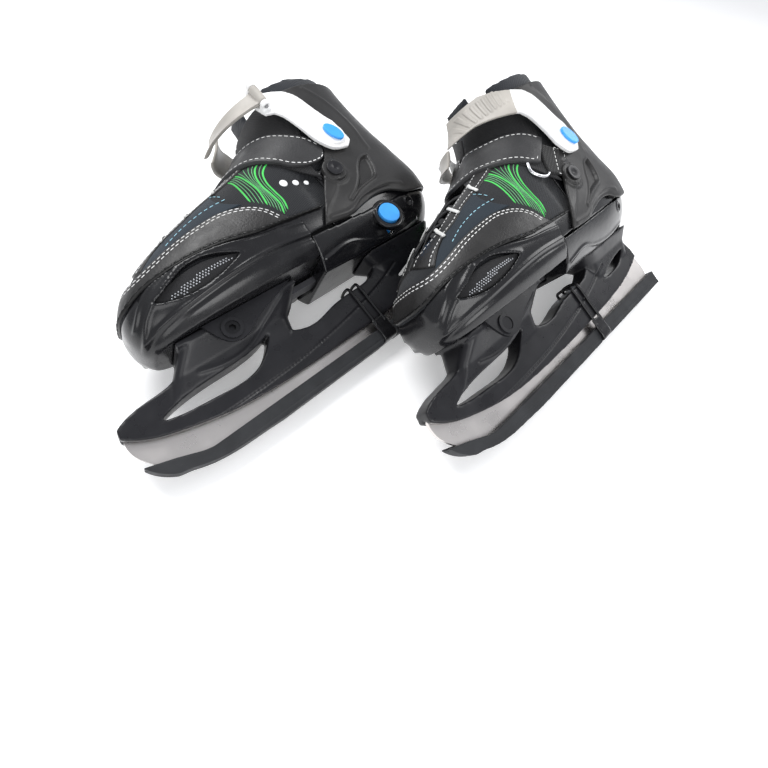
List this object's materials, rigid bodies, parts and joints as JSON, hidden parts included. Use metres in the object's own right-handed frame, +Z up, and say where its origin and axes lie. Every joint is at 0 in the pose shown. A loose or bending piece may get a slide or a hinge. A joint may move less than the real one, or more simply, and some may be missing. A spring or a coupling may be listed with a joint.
{
  "type": "pair of ice skates",
  "caption": "Pair of size-adjustable ice skates with blade holders, guarded runners, hard toe and heel shells, hinged cuffs with ratchet buckles, laces and instep straps, lying on their sides.",
  "frame": {"origin": "centre of the bounding box of the pair, on the surface they lie on", "axes": "+X along the left skate towards its toe, +Y towards the blades, +Z up from the surface"},
  "size_m": [0.412, 0.3234, 0.1421],
  "materials": {
    "holder_plastic": "satin black",
    "bolt_black": "black oxide",
    "runner_steel": "satin, ground edge",
    "guard_rubber": "matte",
    "tie_silicone": "glossy",
    "shell_plastic": "satin",
    "vent_mesh": "silver mesh",
    "rack_plastic": "satin",
    "button_blue": "satin",
    "spring_steel": "bright",
    "vamp_leather": "grained",
    "upper_fabric": "woven",
    "collar_fabric": "soft woven",
    "tongue_fabric": "soft woven",
    "footbed_foam": "felt",
    "lace_cord": "braided",
    "strap_leather": "grained",
    "ring_chrome": "polished",
    "anchor_webbing": "woven",
    "cuff_plastic": "satin",
    "rivet_steel": "satin",
    "arm_white": "satin white",
    "ladder_plastic": "satin",
    "cap_blue": "glossy",
    "lever_plastic": "satin"
  },
  "bodies": {
    "left_skate": {"left_blade_holder": "holder_plastic", "left_bolt_lugs": "holder_plastic", "left_holder_bolt": "bolt_black", "left_blade": "runner_steel", "left_blade_screws": "runner_steel", "left_blade_guard": "guard_rubber", "left_guard_tie": "tie_silicone", "left_heel_shell": "shell_plastic", "left_boot_upper": "upper_fabric", "left_footbed": "footbed_foam", "left_tongue": "tongue_fabric", "left_instep_strap": "strap_leather", "left_strap_ring": "ring_chrome", "left_ring_anchor": "anchor_webbing", "left_cuff_rivets": "rivet_steel", "left_button_spring": "spring_steel"},
    "left_toe": {"left_toe_shell": "shell_plastic", "left_toe_vent_mesh": "vent_mesh", "left_toe_upper": "vamp_leather", "left_laces": "lace_cord", "left_size_rack": "rack_plastic"},
    "left_button": {"left_size_button": "button_blue"},
    "left_cuff": {"left_cuff": "cuff_plastic", "left_collar_padding": "collar_fabric", "left_pivot_caps": "cap_blue"},
    "left_arm": {"left_buckle_arm": "arm_white", "left_lever_pin": "rivet_steel"},
    "left_lever": {"left_buckle_lever": "lever_plastic"},
    "left_ladder": {"left_ladder_strap": "ladder_plastic"},
    "right_skate": {"right_blade_holder": "holder_plastic", "right_bolt_lugs": "holder_plastic", "right_holder_bolt": "bolt_black", "right_blade": "runner_steel", "right_blade_screws": "runner_steel", "right_blade_guard": "guard_rubber", "right_guard_tie": "tie_silicone", "right_heel_shell": "shell_plastic", "right_boot_upper": "upper_fabric", "right_footbed": "footbed_foam", "right_tongue": "tongue_fabric", "right_instep_strap": "strap_leather", "right_strap_ring": "ring_chrome", "right_ring_anchor": "anchor_webbing", "right_cuff_rivets": "rivet_steel", "right_button_spring": "spring_steel"},
    "right_toe": {"right_toe_shell": "shell_plastic", "right_toe_vent_mesh": "vent_mesh", "right_toe_upper": "vamp_leather", "right_laces": "lace_cord", "right_size_rack": "rack_plastic"},
    "right_button": {"right_size_button": "button_blue"},
    "right_cuff": {"right_cuff": "cuff_plastic", "right_collar_padding": "collar_fabric", "right_pivot_caps": "cap_blue"},
    "right_arm": {"right_buckle_arm": "arm_white", "right_lever_pin": "rivet_steel"},
    "right_lever": {"right_buckle_lever": "lever_plastic"},
    "right_ladder": {"right_ladder_strap": "ladder_plastic"}
  },
  "joints": [
    {"name": "left_toe_size_slide", "type": "slide", "parent": "left_skate", "child": "left_toe", "axis": [1, 0, 0], "range_m": [0, 0.02]},
    {"name": "left_size_button_push", "type": "slide", "parent": "left_skate", "child": "left_button", "axis": [0, -0.3827, -0.9239], "range_m": [0, 0.0025], "stiffness_N_per_m": 800, "springref_m": -0.001, "deforming": ["left_button_spring"]},
    {"name": "left_cuff_flex", "type": "hinge", "parent": "left_skate", "child": "left_cuff", "pos_m": [0.00948, -0.06084, 0.05265], "axis": [0, 0.3827, 0.9239], "range_deg": [0, 6]},
    {"name": "left_buckle_arm_swing", "type": "hinge", "parent": "left_cuff", "child": "left_arm", "pos_m": [-0.00852, -0.0668, 0.10491], "axis": [0, 0.3827, 0.9239], "range_deg": [-14, 0]},
    {"name": "left_buckle_lever_turn", "type": "hinge", "parent": "left_arm", "child": "left_lever", "pos_m": [0.02148, -0.09798, 0.11847], "axis": [0, -0.9239, 0.3827], "range_deg": [0, 100]},
    {"name": "left_ladder_strap_swing", "type": "hinge", "parent": "left_cuff", "child": "left_ladder", "pos_m": [-0.00852, -0.102, 0.01991], "axis": [0, 0.3827, 0.9239], "range_deg": [-10, 0]},
    {"name": "right_skate_lift", "type": "slide", "parent": "left_skate", "child": "right_skate", "axis": [0, 0, 1], "range_m": [0, 0.25]},
    {"name": "right_toe_size_slide", "type": "slide", "parent": "right_skate", "child": "right_toe", "axis": [0.9997, -0.0262, 0], "range_m": [0, 0.02]},
    {"name": "right_size_button_push", "type": "slide", "parent": "right_skate", "child": "right_button", "axis": [0.0129, 0.4907, 0.8712], "range_m": [0, 0.0025], "stiffness_N_per_m": 800, "springref_m": -0.001, "deforming": ["right_button_spring"]},
    {"name": "right_cuff_flex", "type": "hinge", "parent": "right_skate", "child": "right_cuff", "pos_m": [-0.11816, 0.0545, 0.0649], "axis": [0.0129, 0.4907, 0.8712], "range_deg": [0, 6]},
    {"name": "right_buckle_arm_swing", "type": "hinge", "parent": "right_cuff", "child": "right_arm", "pos_m": [-0.13733, 0.01019, 0.03734], "axis": [0.0129, 0.4907, 0.8712], "range_deg": [-14, 0]},
    {"name": "right_buckle_lever_turn", "type": "hinge", "parent": "right_arm", "child": "right_lever", "pos_m": [-0.10812, -0.0205, 0.05351], "axis": [0.0228, 0.8709, -0.4909], "range_deg": [0, 22]},
    {"name": "right_ladder_strap_swing", "type": "hinge", "parent": "right_cuff", "child": "right_ladder", "pos_m": [-0.13614, 0.05533, 0.1175], "axis": [0.0129, 0.4907, 0.8712], "range_deg": [-10, 0]}
  ]
}
